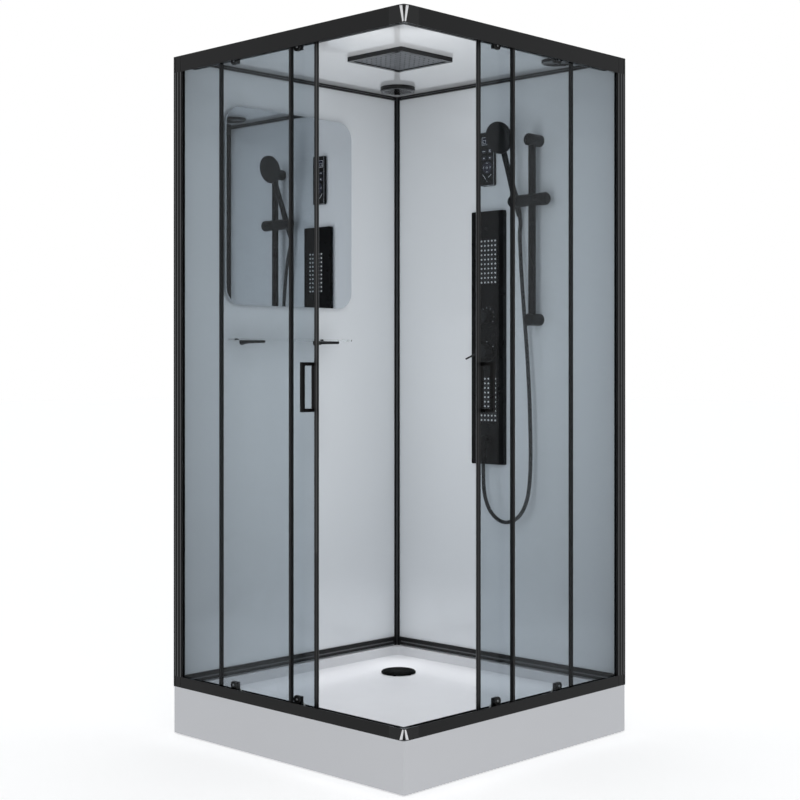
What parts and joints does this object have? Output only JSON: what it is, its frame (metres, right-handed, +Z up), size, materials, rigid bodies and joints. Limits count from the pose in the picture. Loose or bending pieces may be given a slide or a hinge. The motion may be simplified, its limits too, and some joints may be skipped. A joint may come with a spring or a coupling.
{
  "type": "steam shower cabin",
  "caption": "Square corner shower cabin on a skirted tray, with sliding corner-entry glass doors, shower column with body jets, slide-bar handset, rain head, mirror and glass shelf.",
  "frame": {"origin": "underside of the centre levelling foot, on the floor, at the middle of the square tray", "axes": "+Z up; +X and -Y point to the two glazed fronts, which meet at the entry corner (+X, -Y); the mirror wall is on -X and the shower column is on the +Y wall"},
  "size_m": [1.014, 1.0493, 2.154],
  "materials": {
    "tray_acrylic": "gloss",
    "galvanised_steel": "satin",
    "drain_plastic": "matte",
    "black_plastic": "satin",
    "black_aluminium": "satin",
    "white_glass": "gloss",
    "clear_glass": "gloss",
    "ceiling_plastic": "gloss",
    "mirror_glass": "mirror",
    "jet_rubber": "matte",
    "key_plastic": "satin",
    "brass": "satin",
    "hose_skin": "satin",
    "carriage_plastic": "satin",
    "wheel_nylon": "satin"
  },
  "bodies": {
    "root": {"back_corner_post": "black_aluminium", "bottom_rails": "black_aluminium", "ceiling_panel": "ceiling_plastic", "corner_joints": "black_plastic", "drain_body": "drain_plastic", "fan_housing": "black_plastic", "fixed_edge_profiles": "black_aluminium", "fixed_glass": "clear_glass", "hose_outlet": "black_plastic", "jet_nozzles": "jet_rubber", "key_pad": "black_plastic", "levelling_feet": "galvanised_steel", "mirror": "mirror_glass", "mixer_valve": "brass", "rain_head": "black_aluminium", "riser_pipe": "brass", "shelf_brackets": "black_aluminium", "shelf_glass": "clear_glass", "shower_hose": "hose_skin", "shower_panel": "black_aluminium", "slide_bar": "black_aluminium", "speaker": "black_plastic", "top_rails": "black_aluminium", "tray": "tray_acrylic", "tray_frame": "galvanised_steel", "wall_panels": "white_glass", "wall_posts": "black_aluminium", "wall_trims": "black_aluminium"},
    "left_door": {"left_door_glass": "clear_glass", "left_leading_profile": "black_aluminium", "left_trailing_profile": "black_aluminium", "left_handle": "black_aluminium", "left_carriages": "carriage_plastic"},
    "left_leading_top_wheel": {"left_leading_top_wheel": "wheel_nylon"},
    "left_leading_bottom_wheel": {"left_leading_bottom_wheel": "wheel_nylon"},
    "left_trailing_top_wheel": {"left_trailing_top_wheel": "wheel_nylon"},
    "left_trailing_bottom_wheel": {"left_trailing_bottom_wheel": "wheel_nylon"},
    "right_door": {"right_door_glass": "clear_glass", "right_leading_profile": "black_aluminium", "right_trailing_profile": "black_aluminium", "right_handle": "black_aluminium", "right_carriages": "carriage_plastic"},
    "right_leading_top_wheel": {"right_leading_top_wheel": "wheel_nylon"},
    "right_leading_bottom_wheel": {"right_leading_bottom_wheel": "wheel_nylon"},
    "right_trailing_top_wheel": {"right_trailing_top_wheel": "wheel_nylon"},
    "right_trailing_bottom_wheel": {"right_trailing_bottom_wheel": "wheel_nylon"},
    "drain_lift": {"drain_cover": "black_plastic"},
    "slider": {"slider_clamp": "black_plastic"},
    "clamp_screw": {"clamp_knob": "black_plastic"},
    "holder": {"handset_holder": "black_plastic"},
    "handset_body": {"handset": "black_plastic"},
    "temperature_control": {"temperature_knob": "black_plastic"},
    "diverter_control": {"diverter_knob": "black_plastic"},
    "rotor": {"fan_rotor": "black_plastic"},
    "upper_left_key_body": {"upper_left_key": "key_plastic"},
    "upper_right_key_body": {"upper_right_key": "key_plastic"},
    "lower_left_key_body": {"lower_left_key": "key_plastic"},
    "lower_right_key_body": {"lower_right_key": "key_plastic"},
    "ring_key_body": {"ring_key": "key_plastic"},
    "centre_key_body": {"centre_key": "key_plastic"}
  },
  "joints": [
    {"name": "left_door_slide", "type": "slide", "parent": "root", "child": "left_door", "axis": [1, 0, 0], "range_m": [-0.045, 0.3357]},
    {"name": "left_leading_top_wheel_roll", "type": "hinge", "parent": "left_door", "child": "left_leading_top_wheel", "pos_m": [0.044, -0.451, 2.0888], "axis": [0, 1, 0], "range_deg": [-215.9, 1603.8]},
    {"name": "left_leading_bottom_wheel_roll", "type": "hinge", "parent": "left_door", "child": "left_leading_bottom_wheel", "pos_m": [0.044, -0.451, 0.164], "axis": [0, 1, 0], "range_deg": [-215.9, 1603.8]},
    {"name": "left_trailing_top_wheel_roll", "type": "hinge", "parent": "left_door", "child": "left_trailing_top_wheel", "pos_m": [-0.238, -0.451, 2.0888], "axis": [0, 1, 0], "range_deg": [-215.9, 1603.8]},
    {"name": "left_trailing_bottom_wheel_roll", "type": "hinge", "parent": "left_door", "child": "left_trailing_bottom_wheel", "pos_m": [-0.238, -0.451, 0.164], "axis": [0, 1, 0], "range_deg": [-215.9, 1603.8]},
    {"name": "right_door_slide", "type": "slide", "parent": "root", "child": "right_door", "axis": [0, -1, 0], "range_m": [-0.085, 0.2947]},
    {"name": "right_leading_top_wheel_roll", "type": "hinge", "parent": "right_door", "child": "right_leading_top_wheel", "pos_m": [0.451, -0.085, 2.0888], "axis": [1, 0, 0], "range_deg": [-406.8, 1408.1]},
    {"name": "right_leading_bottom_wheel_roll", "type": "hinge", "parent": "right_door", "child": "right_leading_bottom_wheel", "pos_m": [0.451, -0.085, 0.164], "axis": [1, 0, 0], "range_deg": [-406.8, 1408.1]},
    {"name": "right_trailing_top_wheel_roll", "type": "hinge", "parent": "right_door", "child": "right_trailing_top_wheel", "pos_m": [0.451, 0.197, 2.0888], "axis": [1, 0, 0], "range_deg": [-406.8, 1408.1]},
    {"name": "right_trailing_bottom_wheel_roll", "type": "hinge", "parent": "right_door", "child": "right_trailing_bottom_wheel", "pos_m": [0.451, 0.197, 0.164], "axis": [1, 0, 0], "range_deg": [-406.8, 1408.1]},
    {"name": "drain_cover_lift", "type": "slide", "parent": "root", "child": "drain_lift", "axis": [0, 0, 1], "range_m": [0, 0.05]},
    {"name": "slider_slide", "type": "slide", "parent": "root", "child": "slider", "axis": [0, 0, 1], "range_m": [-0.345, 0.08], "deforming": ["shower_hose"]},
    {"name": "clamp_knob_turn", "type": "hinge", "parent": "slider", "child": "clamp_screw", "pos_m": [0.2, 0.449, 1.691], "axis": [1, 0, 0], "range_deg": [-180, 180]},
    {"name": "holder_tilt", "type": "hinge", "parent": "slider", "child": "holder", "pos_m": [0.093, 0.449, 1.691], "axis": [1, 0, 0], "range_deg": [-8, 12], "deforming": ["shower_hose"]},
    {"name": "handset_lift", "type": "slide", "parent": "holder", "child": "handset_body", "axis": [0, -0.3616, 0.9323], "range_m": [0, 0.06], "deforming": ["shower_hose"]},
    {"name": "temperature_turn", "type": "hinge", "parent": "root", "child": "temperature_control", "pos_m": [-0.047, 0.45, 1.313], "axis": [0, -1, 0], "range_deg": [-120, 120]},
    {"name": "diverter_turn", "type": "hinge", "parent": "root", "child": "diverter_control", "pos_m": [-0.047, 0.45, 1.198], "axis": [0, -1, 0], "range_deg": [-120, 60]},
    {"name": "fan_spin", "type": "hinge", "parent": "root", "child": "rotor", "pos_m": [-0.35, 0.35, 2.128], "axis": [0, 0, 1], "continuous": true},
    {"name": "upper_left_key_press", "type": "slide", "parent": "root", "child": "upper_left_key_body", "axis": [0, 1, 0], "range_m": [0, 0.001], "stiffness_N_per_m": 600},
    {"name": "upper_right_key_press", "type": "slide", "parent": "root", "child": "upper_right_key_body", "axis": [0, 1, 0], "range_m": [0, 0.001], "stiffness_N_per_m": 600},
    {"name": "lower_left_key_press", "type": "slide", "parent": "root", "child": "lower_left_key_body", "axis": [0, 1, 0], "range_m": [0, 0.001], "stiffness_N_per_m": 600},
    {"name": "lower_right_key_press", "type": "slide", "parent": "root", "child": "lower_right_key_body", "axis": [0, 1, 0], "range_m": [0, 0.001], "stiffness_N_per_m": 600},
    {"name": "ring_key_press", "type": "slide", "parent": "root", "child": "ring_key_body", "axis": [0, 1, 0], "range_m": [0, 0.001], "stiffness_N_per_m": 600},
    {"name": "centre_key_press", "type": "slide", "parent": "root", "child": "centre_key_body", "axis": [0, 1, 0], "range_m": [0, 0.001], "stiffness_N_per_m": 600}
  ],
  "couplings": [
    {"joint": "left_leading_top_wheel_roll", "follows": "left_door_slide", "rad_per_m": 83.333},
    {"joint": "left_leading_bottom_wheel_roll", "follows": "left_door_slide", "rad_per_m": 83.333},
    {"joint": "left_trailing_top_wheel_roll", "follows": "left_door_slide", "rad_per_m": 83.333},
    {"joint": "left_trailing_bottom_wheel_roll", "follows": "left_door_slide", "rad_per_m": 83.333},
    {"joint": "right_leading_top_wheel_roll", "follows": "right_door_slide", "rad_per_m": 83.333},
    {"joint": "right_leading_bottom_wheel_roll", "follows": "right_door_slide", "rad_per_m": 83.333},
    {"joint": "right_trailing_top_wheel_roll", "follows": "right_door_slide", "rad_per_m": 83.333},
    {"joint": "right_trailing_bottom_wheel_roll", "follows": "right_door_slide", "rad_per_m": 83.333}
  ]
}
